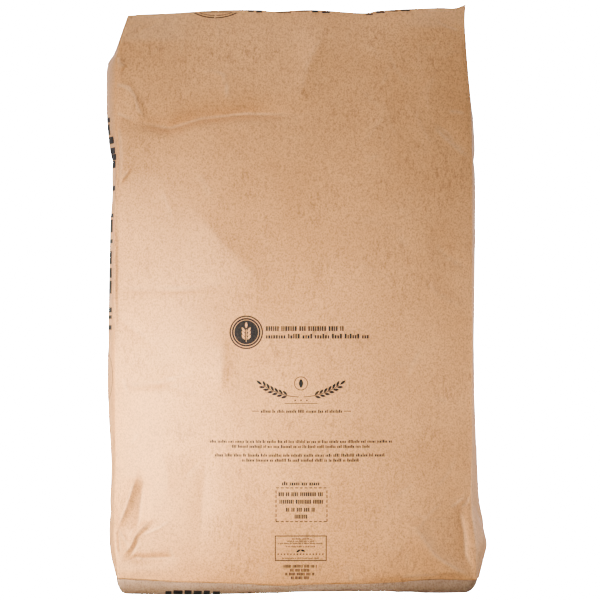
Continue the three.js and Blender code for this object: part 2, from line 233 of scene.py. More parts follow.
def scattered_creases(seed, count, low, high, edge_pull):
    """Small chance creases between two corners of a face, crowded to its edges by edge_pull."""
    draw = np.random.default_rng(seed)
    creases = []
    for _ in range(count):
        place = draw.uniform(-1, 1, 2)
        place = np.sign(place) * np.abs(place) ** edge_pull
        centre = np.array(low) + (place + 1) / 2 * (np.array(high) - low)
        turn = draw.uniform(0, math.pi)
        half = draw.uniform(*CHANCE_HALF) * np.array((math.cos(turn), math.sin(turn)))
        bend = draw.uniform(*CHANCE_BEND, 2)
        rise = draw.choice((-1, 1)) * draw.uniform(*CHANCE_RISE)
        reach = draw.uniform(*CHANCE_REACH, 2)
        creases.append((rise, *reach, (centre - half, centre + bend, centre + half)))
    return creases


# a wave's height, and how far it takes to turn by one radian across and up
WAVES = ((0.9, 47, 83), (0.7, 29, -61), (0.5, 90, 37))


def slack(across, up, turn):
    """Long shallow waves of the filled paper."""
    return sum(height * np.sin(across / wide + up / tall + number * turn)
               for number, (height, wide, tall) in enumerate(WAVES, 1))


# the first grid lines in from a pressed edge
PRESSED_STEPS = (0.5, 1.2, 2.2, 3.6)


def steps(count, span, crowd):
    """Grid lines from 0 to 1: a few close together at both pressed edges, and the rest closer
    together where the crowd curve is higher."""
    tight = np.array((0, *PRESSED_STEPS)) / span
    samples = 2001
    places = np.linspace(tight[-1], 1 - tight[-1], samples)
    share = np.concatenate(((0,), np.cumsum(crowd(places[1:]) + crowd(places[:-1]))))
    wanted = np.linspace(0, share[-1], count - 2 * len(PRESSED_STEPS) + 1)
    between = np.interp(wanted, share, places)
    return np.concatenate((tight[:-1], between, 1 - tight[:-1][::-1]))


shown_creases = front_creases + fine_creases + scattered_creases(
    7, 64, (-180, 30), (172, 600), 0.55)
hidden_creases = back_creases + scattered_creases(11, 60, (-180, 30), (172, 600), 0.6)
side_creases = gusset_creases + scattered_creases(13, 16, (-46, 30), (46, 590), 0.8)


# how full the panels are, and where creases fade at the edges and the folds
CROWN_POWER = 2.5
EDGE_FADE = 4.0
FOLD_FADE = 0.012
# the shown panel curls under above its fold, less towards both sides
CURL = 2.6
CURL_HEIGHT = 11.0
CURL_STARTS = (-120, -20)
CURL_EASES = (95, 135)
EASED = 0.7
# its top corners are painted paler and greyer, a painted sheen of the band that tilts back to the
# rim, above a height of their own left and right
PAINTED_SHEEN = 0.6
SHEEN_ACROSS = (95, 140)
SHEEN_ABOVE = (574, 588)
SHEEN_RISE = 8


def panel_points(side, u, w):
    """Points of the shown panel (side -1) or the back panel (side 1), and where they're worn."""
    level = FOLD_HEIGHT + (RIM_HEIGHT - FOLD_HEIGHT) * w
    width = right_edge(level) - left_edge(level)
    x = left_edge(level) + width * u
    fold = front_fold(x) if side < 0 else FOLD_HEIGHT
    rim = front_rim(x) if side < 0 else back_rim(x)
    z = fold + (rim - fold) * w
    belly = front_belly(level) if side < 0 else back_belly(level)
    crown = 1 - np.abs(2 * u - 1) ** CROWN_POWER
    inset = np.minimum(u, 1 - u) * width
    fade = smooth(0, EDGE_FADE, inset) * smooth(0, FOLD_FADE, w) * smooth(0, FOLD_FADE, 1 - w)
    bumps, wear_and_sheen = crease_heights(shown_creases if side < 0 else hidden_creases, x, z)
    depth = edge_depth(level) * (1 - crown) + belly * crown + fade * (bumps + slack(x, z, side))
    if side < 0:
        curled = smooth(*CURL_STARTS, x) - EASED * smooth(*CURL_EASES, x)
        depth = depth - CURL * np.clip(1 - (z - fold) / CURL_HEIGHT, 0, 1) ** 2 * curled
        # the painted sheen of the top corners: the paper is made paler above these heights, towards
        # both sides
        foot = np.where(x < 0, *SHEEN_ABOVE)
        painted_sheen = PAINTED_SHEEN * smooth(foot, foot + SHEEN_RISE, z) * smooth(*SHEEN_ACROSS, np.abs(x))
        wear_and_sheen = np.maximum(wear_and_sheen, painted_sheen)
    return np.stack((x, side * depth, z), -1), wear_and_sheen


# the gusset's bulge, the groove of its centre fold, and the most that a crease may stand proud
BULGE_POWER = 0.7
GROOVE_DEPTH = 2.4
GROOVE_HALF = 0.12
GROOVE_STARTS = (0.02, 0.12)
MOST_PROUD = 0.3
GUSSET_FADE = 0.05


def gusset_points(side, v, w):
    """Points of the left (side -1) or right (side 1) gusset, v from front to back. The paper
    bulges between the panel edges, with the pressed centre fold as a shallow groove."""
    level = FOLD_HEIGHT + (RIM_HEIGHT - FOLD_HEIGHT) * w
    edge = left_edge(level) if side < 0 else right_edge(level)
    flank = left_flank(level) if side < 0 else right_flank(level)
    u = np.full(v.shape, 0.0 if side < 0 else 1.0)
    front = panel_points(-1, u, w)[0]
    back = panel_points(1, u, w)[0]
    y = front[..., 1] * (1 - v) + back[..., 1] * v
    z = front[..., 2] * (1 - v) + back[..., 2] * v
    bulge = np.sin(math.pi * v) ** BULGE_POWER
    pressed = np.clip(1 - np.abs(v - 0.5) / GROOVE_HALF, 0, None)
    groove = GROOVE_DEPTH * pressed * smooth(*GROOVE_STARTS, w)
    inset = np.minimum(v, 1 - v) * (back[..., 1] - front[..., 1])
    fade = smooth(0, EDGE_FADE, inset) * smooth(0, GUSSET_FADE, w) * smooth(0, GUSSET_FADE, 1 - w)
    heights, wear_and_sheen = crease_heights(side_creases, side * y, z)
    bumps = np.minimum(MOST_PROUD, heights) - groove
    x = edge * (1 - bulge) + flank * bulge + side * fade * bumps
    return np.stack((x, y, z), -1), wear_and_sheen


# the folded ends: their round corners, the top's sag and mitred gusset folds, and the bottom's
# turned-in edge, which is tighter at the left and arches off the floor at the front
CORNER_POWER = 4
TOP_SAG = 2.5
SAG_REACH = 45
MITRE_DEPTH = 1.4
MITRE_STEP = 2.5
MITRE_RUN = 8
SHEET = 0.6
PASTE_GAP = 0.3
LIP = 2.6
TURN_IN = 17.0
ARCH = 50.0
ARCH_GAIN = 1.6
LEFT_TIGHTNESS = 1.6
RIGHT_TIGHTNESS = 0.9


def end_points(top, u, v):
    """Points of an end of the sack, blended from its four rims, on a grid of u by v."""
    w = np.full(u.shape, 1.0 if top else 0.0)
    front = panel_points(-1, u, w)[0]
    back = panel_points(1, u, w)[0]
    left = gusset_points(-1, v, w)[0]
    right = gusset_points(1, v, w)[0]
    across, deep = u[..., None], v[..., None]
    corners = [panel_points(side, np.full(u.shape, end), w)[0]
               for side in (-1, 1) for end in (0.0, 1.0)]
    front_line = corners[0] * (1 - across) + corners[1] * across
    back_line = corners[2] * (1 - across) + corners[3] * across
    points = front * (1 - deep) + back * deep + left * (1 - across) + right * across
    points = points - front_line * (1 - deep) - back_line * deep

    in_x = np.minimum(u, 1 - u) * (right - left)[..., 0]
    in_y = np.minimum(v, 1 - v) * (back - front)[..., 1]
    tightness = 1.0 if top else LEFT_TIGHTNESS + (RIGHT_TIGHTNESS - LEFT_TIGHTNESS) * u
    wide = in_x * tightness
    least = 1e-6
    rounded = (np.maximum(wide, least) ** -CORNER_POWER
               + np.maximum(in_y, least) ** -CORNER_POWER) ** (-1 / CORNER_POWER)
    inset = np.where(wide * in_y <= 0, 0, rounded)
    z = points[..., 2]
    if top:
        mitre = MITRE_DEPTH * smooth(0, MITRE_STEP, in_y - in_x) * smooth(
            0, MITRE_RUN, np.minimum(in_x, in_y))
        points[..., 2] = z - TOP_SAG * smooth(0, SAG_REACH, inset) - mitre
        return points
    under = SHEET + PASTE_GAP
    t = np.clip((inset - LIP) / (TURN_IN - LIP), 0, 1)
    lip = np.clip(inset / LIP, 0, 1)
    from_front = v * (back - front)[..., 1]
    arch = front_lift(points[..., 0]) * (1 - smooth(TURN_IN / 2, ARCH, from_front))
    lift = arch * smooth(0, 1, t * ARCH_GAIN)
    quarter_round = 1 - np.sqrt(1 - (1 - t) ** 2)
    points[..., 2] = np.maximum(under + (z - under - lip) * quarter_round, under + lift)
    return points


# the corners and edges hold the sharpest creases, so the grid is finest there
PANEL_COLUMNS = 160
GUSSET_COLUMNS = 36
ROWS = 272
across_crowd = through((0, 2.7), (0.16, 2.2), (0.27, 1), (0.8, 1), (1, 2.2))
deep_crowd = through((0, 2.6), (0.2, 1), (0.8, 1), (1, 2.6))
up_crowd = through((0, 2.6), (0.18, 2.1), (0.28, 1), (0.72, 1), (0.8, 1.8), (1, 2))
across_steps = steps(PANEL_COLUMNS, PANEL_WIDTH, across_crowd)
deep_steps = steps(GUSSET_COLUMNS, GUSSET_DEPTH, deep_crowd)
up_steps = steps(ROWS, RIM_HEIGHT - FOLD_HEIGHT, up_crowd)


def grid_faces(index):
    """Two triangles for each cell of a grid of point numbers."""
    a, b, c, d = index[:-1, :-1], index[:-1, 1:], index[1:, 1:], index[1:, :-1]
    return np.concatenate([
        np.stack(corners, -1).reshape(-1, 3) for corners in ((a, b, c), (a, c, d))])


def skin_faces(ring, inner_start):
    """Triangles of the closed skin. The back has half the columns of the front."""
    rows, columns, deep = ROWS, PANEL_COLUMNS, GUSSET_COLUMNS
    walls = np.arange((rows + 1) * ring).reshape(-1, ring)
    faces = [grid_faces(np.column_stack((walls, walls[:, 0])))]
    for top, rim in ((False, 0), (True, rows * ring)):
        index = np.full((deep + 1, columns + 1), -1)
        index[0] = rim + np.arange(columns + 1)
        index[:, columns] = rim + columns + np.arange(deep + 1)
        index[deep, ::2] = rim + columns + deep + columns // 2 - np.arange(columns // 2 + 1)
        index[1:, 0] = rim + ring - np.arange(1, deep + 1)
        index[1:deep, 1:columns] = inner_start[top] + np.arange((deep - 1) * (columns - 1)).reshape(
            deep - 1, columns - 1)
        near, far = index[deep - 1], index[deep]
        even = np.arange(0, columns, 2)
        end = np.concatenate((
            grid_faces(index[:-1]),
            np.stack((near[even], near[even + 1], far[even]), -1),
            np.stack((near[even + 1], far[even + 2], far[even]), -1),
            np.stack((near[even + 1], near[even + 2], far[even + 2]), -1),
        ))
        faces.append(end if top else end[:, ::-1])
    return np.concatenate(faces)


def mesh_piece(name, points, faces, material, smoothed=True):
    """A piece of the sack from points in millimetres, riding on the one body."""
    mesh = bpy.data.meshes.new(name)
    mesh.vertices.add(len(points))
    mesh.vertices.foreach_set("co", (np.asarray(points) * MM).ravel())
    mesh.loops.add(3 * len(faces))
    mesh.loops.foreach_set("vertex_index", np.asarray(faces).ravel())
    mesh.polygons.add(len(faces))
    mesh.polygons.foreach_set("loop_start", np.arange(0, 3 * len(faces), 3))
    mesh.update(calc_edges=True)
    mesh.polygons.foreach_set("use_smooth", np.full(len(faces), smoothed))
    mesh.materials.append(material)
    piece = bpy.data.objects.new(name, mesh)
    bpy.context.scene.collection.objects.link(piece)
    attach(piece, "root")
    return piece


def new_material(name):
    """An empty material and its tree of nodes."""
    material = bpy.data.materials.new(name)
    material.use_nodes = True
    material.node_tree.nodes.clear()
    return material, material.node_tree


def new_group(name, inputs, outputs):
    """An effect that several materials share, with its numbers in and out."""
    group = bpy.data.node_groups.new(name, "ShaderNodeTree")
    for socket, value in inputs:
        group.interface.new_socket(
            socket, in_out="INPUT", socket_type="NodeSocketFloat").default_value = value
    for socket in outputs:
        group.interface.new_socket(socket, in_out="OUTPUT", socket_type="NodeSocketFloat")
    return group


def add(tree, kind, links=(), **settings):
    """A node with its settings, and its inputs linked or set by name or number."""
    node = tree.nodes.new(kind)
    for name, value in settings.items():
        setattr(node, name, value)
    for socket, value in links:
        if isinstance(value, bpy.types.NodeSocket):
            tree.links.new(value, node.inputs[socket])
        else:
            node.inputs[socket].default_value = value
    return node


def combine(tree, operation, *values, **settings):
    """One number worked out from others."""
    return add(tree, "ShaderNodeMath", enumerate(values), operation=operation, **settings).outputs[0]


def ramp(tree, value, low, high, start=0.0, end=1.0):
    """A number that goes from start to end while a value goes from low to high."""
    return add(tree, "ShaderNodeMapRange",
               [(0, value), (1, low), (2, high), (3, start), (4, end)]).outputs[0]


def noise(tree, place, scale, detail, roughness=0.5):
    return add(tree, "ShaderNodeTexNoise", [("Vector", place), ("Scale", scale), ("Detail", detail),
                                            ("Roughness", roughness)])


def blend_colour(tree, mask, low, high):
    return add(tree, "ShaderNodeMix", [(0, mask), (6, low), (7, high)], data_type="RGBA").outputs[2]


def kraft_fibre_group():
    """Long-fibred kraft: an even mottle of short flecks with patches of longer streaks up the
    sack, soft clouds, and the height of the fibres. Its sizes are in millimetres."""
    sizes = (("Fleck Width", 1.25), ("Fleck Length", 1.6), ("Streak Length", 4.6),
             ("Cloud Size", 60.0))
    group = new_group("kraft_fibre", sizes, ("Flecks", "Clouds", "Height"))
    ends = add(group, "NodeGroupInput")
    place = add(group, "ShaderNodeTexCoord").outputs["Object"]
    wide, long, streak, cloud = (
        combine(group, "DIVIDE", 1 / MM, ends.outputs[size]) for size, _ in sizes)

    def stretched(length):
        by = add(group, "ShaderNodeCombineXYZ", [(0, wide), (1, wide), (2, length)]).outputs[0]
        return add(group, "ShaderNodeVectorMath", [(0, place), (1, by)],
                   operation="MULTIPLY").outputs[0]

    flecks = noise(group, stretched(long), 0.85, 3.0, 0.7).outputs["Fac"]
    streaks = noise(group, stretched(streak), 0.45, 1.0).outputs["Fac"]
    patches = noise(group, place, 24.0, 2.0).outputs["Fac"]
    fleck_mask = combine(
        group, "MULTIPLY_ADD", ramp(group, streaks, 0.52, 0.68, end=0.45),
        ramp(group, patches, 0.44, 0.66), ramp(group, flecks, 0.44, 0.66, end=0.9), use_clamp=True)
    clouds = noise(group, place, cloud, 3.0, 0.55).outputs["Fac"]
    hairs = noise(group, stretched(long), 1.6, 3.0, 0.7).outputs["Fac"]
    add(group, "NodeGroupOutput", [("Flecks", fleck_mask), ("Clouds", clouds),
                                   ("Height", combine(group, "ADD", hairs, flecks))])
    return group


def crinkle_group():
    """Shallow crinkles of handled paper, sharp along their ridges, of a size in millimetres."""
    group = new_group("crinkle", (("Size", 22.0),), ("Height",))
    ends = add(group, "NodeGroupInput")
    place = add(group, "ShaderNodeTexCoord").outputs["Object"]
    scale = combine(group, "DIVIDE", 1 / MM, ends.outputs["Size"])
    bent = noise(group, place, 18.0, 1.0).outputs["Color"]
    shifted = add(group, "ShaderNodeVectorMath", [(0, bent), (1, (0.03, 0.03, 0.03)), (2, place)],
                  operation="MULTIPLY_ADD").outputs[0]
    cells = add(group, "ShaderNodeTexVoronoi",
                [("Vector", shifted), ("Scale", scale)]).outputs["Distance"]
    soft = noise(group, place, scale, 2.0).outputs["Fac"]
    add(group, "NodeGroupOutput", [("Height", combine(group, "MULTIPLY_ADD", cells, 0.35, soft))])
    return group


kraft_fibre = kraft_fibre_group()
crinkle = crinkle_group()


def paper_material(name, pale, dark, fleck, fleck_share, rough, fibre_bump, crinkle_bump, wear_and_sheen=None):
    """Matt paper: clouds between a pale and a dark tone, flecks, and a paler tone on worn creases
    and, on the sack's top corners, as a painted sheen.
    """
    material, tree = new_material(name)
    fibre = add(tree, "ShaderNodeGroup", node_tree=kraft_fibre).outputs
    folds = add(tree, "ShaderNodeGroup", [("Size", 26.0)], node_tree=crinkle).outputs
    tone = blend_colour(tree, ramp(tree, fibre["Clouds"], 0.32, 0.68), dark, pale)
    tone = blend_colour(tree, combine(tree, "MULTIPLY", fibre["Flecks"], fleck_share), tone, fleck)
    if wear_and_sheen:
        # the paler tone: worn creases, and the painted sheen of the shown panel's top corners
        ridge = add(tree, "ShaderNodeAttribute", attribute_name="wear_and_sheen").outputs["Fac"]
        tone = blend_colour(tree, combine(tree, "MULTIPLY", ridge, 0.2), tone, wear_and_sheen)
    gloss = ramp(tree, fibre["Clouds"], 0.3, 0.7, rough - 0.05, rough + 0.05)
    fine = add(tree, "ShaderNodeBump",
               [("Strength", fibre_bump), ("Distance", 0.4 * MM), ("Height", fibre["Height"])])
    broad = add(tree, "ShaderNodeBump",
                [("Strength", crinkle_bump), ("Distance", 4 * MM), ("Height", folds["Height"]),
                 ("Normal", fine.outputs[0])])
    shader = add(tree, "ShaderNodeBsdfPrincipled",
                 [("Base Color", tone), ("Roughness", gloss), ("Normal", broad.outputs[0]),
                  ("Specular IOR Level", 0.5), ("Specular Tint", (1.0, 0.72, 0.5, 1))])
    add(tree, "ShaderNodeOutputMaterial", [("Surface", shader.outputs[0])])
    return material


# its paler, greyer tone serves both the worn creases and the painted sheen of the top corners
kraft = paper_material(
    "kraft_paper", pale=(0.655, 0.354, 0.166, 1), dark=(0.590, 0.313, 0.143, 1),
    fleck=(0.300, 0.158, 0.076, 1), fleck_share=0.8, rough=0.46, fibre_bump=0.3,
    crinkle_bump=0.08, wear_and_sheen=(0.72, 0.50, 0.33, 1))


def ring_of(front, right, back, left):
    """The four walls' columns, once round the sack."""
    return np.concatenate((front[:, :-1], right[:, :-1], back[:, :0:-1], left[:, :0:-1]), axis=1)


back_steps = across_steps[::2]
front_face, front_wear_and_sheen = panel_points(-1, *np.meshgrid(across_steps, up_steps))
right_face, right_worn = gusset_points(1, *np.meshgrid(deep_steps, up_steps))
back_face, back_worn = panel_points(1, *np.meshgrid(back_steps, up_steps))
left_face, left_worn = gusset_points(-1, *np.meshgrid(deep_steps, up_steps))
ring_points = ring_of(front_face, right_face, back_face, left_face)
ring_wear_and_sheen = ring_of(front_wear_and_sheen, right_worn, back_worn, left_worn)
ring_size = ring_points.shape[1]
end_inner = [end_points(top, *np.meshgrid(across_steps[1:-1], deep_steps[1:-1])).reshape(-1, 3)
             for top in (False, True)]
wall_count = ring_points.shape[0] * ring_size
inner_start = (wall_count, wall_count + len(end_inner[0]))
skin = np.concatenate((ring_points.reshape(-1, 3), *end_inner))

# the frame's sack has the same outline about the middle of its box
cad_low, cad_high = (np.array(corner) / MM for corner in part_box("sack"))
shift = (cad_low + cad_high) / 2 - (skin.min(0) + skin.max(0)) / 2
shift[2] = 0.0
sack = mesh_piece("paper_sack", skin + shift, skin_faces(ring_size, inner_start), kraft)
# the mask of the paler tone: worn creases all round, and the painted sheen of the shown panel's top
# corners
wear_and_sheen_values = np.concatenate((ring_wear_and_sheen.ravel(), np.zeros(len(skin) - wall_count)))
sack.data.attributes.new("wear_and_sheen", "FLOAT", "POINT").data.foreach_set("value", wear_and_sheen_values)
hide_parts("sack")


# The pasted end sheets: a leaf of paper glued over each folded end, coloured darker and greyer than
# the sack's kraft. The bottom one shows as a strip under the overhanging fold; the top one covers the
# end up to just short of its rims.
FOOT_WIDTH, FOOT_DEPTH = 372, 140
TOP_WIDTH, TOP_DEPTH = 350, 93
TOP_SIDE_MARGIN, TOP_FRONT_MARGIN = 9, 4
LEAF_TURN = np.array((0, 0.1, 0.4, 1.0, 2.0, 3.5, 5.2, 7.2, 9.5, 12.4))
LEAF_COLUMNS, LEAF_ROWS = 150, 30


def leaf_faces(tall, wide, flipped):
    """Triangles of a closed leaf: a grid of inner points, then the same grid of outer points."""
    count = tall * wide
    index = np.arange(count).reshape(tall, wide)
    sheet = grid_faces(index)
    rim = np.concatenate((index[0], index[1:, -1], index[-1, -2::-1], index[-2::-1, 0]))
    edge = grid_faces(np.stack((rim, rim + count)))
    faces = np.concatenate((sheet + count, sheet[:, ::-1], edge))
    return faces[:, ::-1] if flipped else faces


def sheet_skin(top, u, way, span):
    """The inner and the outer face of an end sheet, over the end of the sack. The way in from the
    front rim is in millimetres on an end as deep as span, and is stretched in its middle to fit."""
    w = np.full(u.shape, 1.0 if top else 0.0)
    depth = panel_points(1, u, w)[0][..., 1] - panel_points(-1, u, w)[0][..., 1]
    middle = np.clip((way - LEAF_TURN[-1]) / (span - 2 * LEAF_TURN[-1]), 0, 1)
    v = (way + (depth - span) * middle) / depth
    small = 1e-3
    base = end_points(top, u, v)
    along = end_points(top, u + small, v) - end_points(top, u - small, v)
    deep = end_points(top, u, v + small) - end_points(top, u, v - small)
    normal = np.cross(along, deep) * (1 if top else -1)
    normal /= np.linalg.norm(normal, axis=-1, keepdims=True)
    inner = base + normal * PASTE_GAP
    outer = base + normal * (PASTE_GAP + SHEET)
    if not top:
        inner[..., 2] = np.maximum(inner[..., 2], SHEET)
        outer[..., 2] = np.maximum(outer[..., 2], 0)
    return inner, outer


end_paper = paper_material(
    "end_paper", pale=(0.385, 0.262, 0.178, 1), dark=(0.300, 0.200, 0.132, 1),
    fleck=(0.180, 0.112, 0.070, 1), fleck_share=0.8, rough=0.7, fibre_bump=0.5, crinkle_bump=0.16)


def leaf_steps(count, span, first_margin, last_margin):
    """Grid lines in millimetres of a leaf inside two margins, close together at its turned edges."""
    first = first_margin + LEAF_TURN
    last = span - last_margin - LEAF_TURN[::-1]
    return np.concatenate((first[:-1], np.linspace(first[-1], last[0], count), last[1:]))


def sheet_piece(name, top, columns, rows, span):
    """A closed leaf that follows an end of the sack, and the grid of its outer face."""
    inner, outer = sheet_skin(top, *np.meshgrid(columns, rows), span)
    points = np.concatenate((inner.reshape(-1, 3), outer.reshape(-1, 3))) + shift
    piece = mesh_piece(name, points, leaf_faces(*inner.shape[:2], not top), end_paper)
    return piece, outer


foot_columns = leaf_steps(
    LEAF_COLUMNS, FOOT_WIDTH, LIP / LEFT_TIGHTNESS, LIP / RIGHT_TIGHTNESS) / FOOT_WIDTH
foot_rows = leaf_steps(LEAF_ROWS, FOOT_DEPTH, LIP, LIP)
bottom_sheet, foot_face = sheet_piece(
    "pasted_bottom_sheet", False, foot_columns, foot_rows, FOOT_DEPTH)
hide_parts("bottom_sheet")
top_columns = leaf_steps(
    LEAF_COLUMNS, TOP_WIDTH, TOP_SIDE_MARGIN, TOP_SIDE_MARGIN) / TOP_WIDTH
top_rows = leaf_steps(LEAF_ROWS, TOP_DEPTH, TOP_FRONT_MARGIN, TOP_FRONT_MARGIN)
top_sheet, _ = sheet_piece("pasted_top_sheet", True, top_columns, top_rows, TOP_DEPTH)
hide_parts("top_sheet")


# The print: one dark ink, printed on the flat paper before it was folded and filled. Small lines are
# rows of plain blocks; beside them are a badge, a wheat ornament, a cut-out coupon and an outlined
# box. All of it is thin slabs, let into the skin that carries it and raised a little above it.
INK_SUNK = 0.06
INK_PROUD = 0.10


def ink_material():
    """Dark ink that has soaked into the paper unevenly."""
    material, tree = new_material("print_ink")
    fibre = add(tree, "ShaderNodeGroup", node_tree=kraft_fibre).outputs
    full, starved = (0.026, 0.023, 0.023, 1), (0.075, 0.056, 0.044, 1)
    tone = blend_colour(tree, ramp(tree, fibre["Height"], 0.95, 1.35), full, starved)
    shader = add(tree, "ShaderNodeBsdfPrincipled",
                 [("Base Color", tone), ("Roughness", 0.6), ("Specular IOR Level", 0.25)])
    add(tree, "ShaderNodeOutputMaterial", [("Surface", shader.outputs[0])])
    return material


ink = ink_material()


def on_skin(points, columns, rows, s, t):
    """Points of a gridded face at any place between its columns (s) and its rows (t)."""
    i = np.clip(np.searchsorted(columns, s, side="right") - 1, 0, len(columns) - 2)
    j = np.clip(np.searchsorted(rows, t, side="right") - 1, 0, len(rows) - 2)
    across = ((s - columns[i]) / (columns[i + 1] - columns[i]))[..., None]
    up = ((t - rows[j]) / (rows[j + 1] - rows[j]))[..., None]
    a, b, c, d = points[j, i], points[j, i + 1], points[j + 1, i + 1], points[j + 1, i]
    right_half = a + across * (b - a) + up * (c - b)
    left_half = a + up * (d - a) + across * (c - d)
    return np.where(across >= up, right_half, left_half)


# a small line's blocks: pitch and heights are shares of its height, widths and gaps of the pitch
SMALL_PITCH = 0.60
TALL_PITCH = 0.56
BLOCK_HEIGHTS = (0.68, 0.72, 1.0)
BLOCK_WIDTHS = (0.42, 0.70)
BLOCK_GAP = 0.3
WORD_GAP = 0.7
BLOCKS_A_WORD = (2, 9)
# how finely slabs follow the skin: the reach of its slope, a ring's steps and a grain's points
SLOPE_REACH = 0.8
RING_STEP = 6
GRAIN_POINTS = 9


class Ink:
    """Prints gathered on one face, made into one piece at the end."""

    def __init__(self, surface, outward, proud=INK_PROUD, cell=3.0):
        self.surface = surface
        self.outward = outward
        self.proud = proud
        self.cell = cell
        self.points = []
        self.faces = []
        self.count = 0

    def stamp(self, s, t):
        """A slab of ink over a grid of places on the face, in the face's own two directions."""
        along_s, along_t = s[0, 1] - s[0, 0], t[0, 1] - t[0, 0]
        up_s, up_t = s[1, 0] - s[0, 0], t[1, 0] - t[0, 0]
        if along_s * up_t - along_t * up_s < 0:
            s, t = s[::-1], t[::-1]
        along = self.surface(s + SLOPE_REACH, t) - self.surface(s - SLOPE_REACH, t)
        up = self.surface(s, t + SLOPE_REACH) - self.surface(s, t - SLOPE_REACH)
        normal = np.cross(along, up) * self.outward
        normal /= np.linalg.norm(normal, axis=-1, keepdims=True)
        middle = self.surface(s, t)
        layers = (middle - normal * INK_SUNK, middle + normal * self.proud)
        self.points += [layer.reshape(-1, 3) for layer in layers]
        self.faces.append(leaf_faces(*s.shape, self.outward < 0) + self.count)
        self.count += 2 * s.size

    def between(self, low, high):
        """Grid lines between two values, no further apart than a cell."""
        return np.linspace(low, high, max(2, math.ceil((high - low) / self.cell) + 1))

    def block(self, left, right, low, high):
        """A block between two sides and two levels."""
        self.stamp(*np.meshgrid(self.between(left, right), self.between(low, high)))

    def arc(self, centre, inner, outer, start=0, end=360):
        """A band round a centre, between two radii and two angles in degrees."""
        count = max(3, math.ceil((end - start) / RING_STEP) + 1)
        turns = np.radians(np.linspace(start, end, count))
        turn, radius = np.meshgrid(turns, self.between(inner, outer))
        self.stamp(centre[0] + radius * np.cos(turn), centre[1] + radius * np.sin(turn))

    def grain(self, centre, length, width, angle):
        """A pointed grain of wheat, turned by an angle in degrees."""
        along, side = np.meshgrid(np.linspace(0, 1, GRAIN_POINTS), (-0.5, 0.5))
        half = width * np.sin(math.pi * np.clip(along, 0.02, 0.98)) ** 0.8
        turn = math.radians(angle)
        x, z = length * (along - 0.5), side * half
        self.stamp(centre[0] + x * math.cos(turn) - z * math.sin(turn),
                   centre[1] + x * math.sin(turn) + z * math.cos(turn))

    def small_line(self, left, right, level, height, draw, even=False):
        """A small line as a row of plain blocks on a level, in groups, all as tall if even."""
        pitch = height * (TALL_PITCH if even else SMALL_PITCH)
        x = left
        while x < right - pitch:
            for _ in range(draw.integers(*BLOCKS_A_WORD)):
                width = pitch * draw.uniform(*BLOCK_WIDTHS)
                tall = height * (1.0 if even else draw.choice(BLOCK_HEIGHTS))
                if x + width > right:
                    break
                self.block(x, x + width, level, level + tall)
                x += width + pitch * BLOCK_GAP
            x += pitch * WORD_GAP

    def piece(self, name, material, slot_name):
        mesh_piece(name, np.concatenate(self.points) + shift, np.concatenate(self.faces),
                   material, smoothed=False)


def panel_skin(x, z):
    """The shown panel's skin at places across and up, in millimetres about the sack's middle."""
    x = x - shift[0]
    w = (z - front_fold(x)) / (front_rim(x) - front_fold(x))
    level = FOLD_HEIGHT + (RIM_HEIGHT - FOLD_HEIGHT) * w
    u = (x - left_edge(level)) / (right_edge(level) - left_edge(level))
    return on_skin(front_face, across_steps, up_steps, u, w)


# the photograph's frame: its width at the sack's middle and in pixels, and where it's seen from
FRAME_WIDTH = 636.0
FRAME_PIXELS = 600
CAMERA_DISTANCE = 3000.0
CAMERA_X = 3.4
CAMERA_Z = 307.5


def at(pixel_x, pixel_y, depth=83):
    """The place in millimetres of a spot in the photograph's frame, that far in front of the
    sack's middle."""
    pixel = FRAME_WIDTH / FRAME_PIXELS * (1 - depth / CAMERA_DISTANCE)
    middle = FRAME_PIXELS / 2
    return CAMERA_X + (pixel_x - middle) * pixel, CAMERA_Z + (middle - pixel_y) * pixel


panel = Ink(panel_skin, 1)
draw = np.random.default_rng(5)


def line_between(left, right, top, bottom, even=False):
    """A small line between four sides, given in the frame's pixels."""
    (x0, z1), (x1, z0) = at(left, top), at(right, bottom)
    panel.small_line(x0, x1, z0, z1 - z0, draw, even)


def lines_about(lines, half, even=False):
    """Small lines given by their left, right and middle pixels and half their height."""
    for left, right, middle in lines:
        line_between(left, right, middle - half, middle + half, even)


# the badge, a disc in a ring, with two lines beside it
BADGE_PIXEL = (246.2, 332.3)
BADGE_RING = (15.9, 17.3)
BADGE_RADIUS = 14.8
BADGE_LINES = ((266, 345, 326.2, 331.0, True), (266, 370, 333.8, 338.6))
CENTRE = 0.05
badge = at(*BADGE_PIXEL)
panel.arc(badge, *BADGE_RING)
panel.arc(badge, CENTRE, BADGE_RADIUS)
for line in BADGE_LINES:
    line_between(*line)

# small lines under the ornament, the first between two dashes: left, right, top and bottom pixels
SMALL_LINES = ((261, 342, 409.6, 412.8), (210, 392, 440.0, 443.0), (232, 370, 445.0, 448.0),
               (215, 388, 453.6, 456.8), (242, 360, 458.6, 461.8), (282, 320, 481.5, 485.5))
DASH_PIXELS = ((252, 259), (344, 351))
DASH_LEVEL_PIXEL = 411.5
DASH_HEIGHT = 0.7
for line in SMALL_LINES:
    line_between(*line)
for left, right in DASH_PIXELS:
    (x0, z0), x1 = at(left, DASH_LEVEL_PIXEL), at(right, 0)[0]
    panel.block(x0, x1, z0, z0 + DASH_HEIGHT)

# the cut-out coupon: a dashed outline round four short lines
COUPON_PIXELS = ((276, 488), (327, 522))
COUPON_LINES = ((278.5, 324, 494.4), (279.5, 323.5, 502), (286, 316, 510), (294.6, 308.4, 517))
HALF_LINE = 0.45
STITCH, STITCH_PITCH = 3.1, 4.9
(x0, z1), (x1, z0) = (at(*corner) for corner in COUPON_PIXELS)
for x in np.arange(x0, x1 - 1, STITCH_PITCH):
    for z in (z0, z1):
        panel.block(x, min(x + STITCH, x1), z - HALF_LINE, z + HALF_LINE)
for z in np.arange(z0, z1 - 1, STITCH_PITCH):
    for x in (x0, x1):
        panel.block(x - HALF_LINE, x + HALF_LINE, z, min(z + STITCH, z1))
lines_about(COUPON_LINES, 2.0, True)

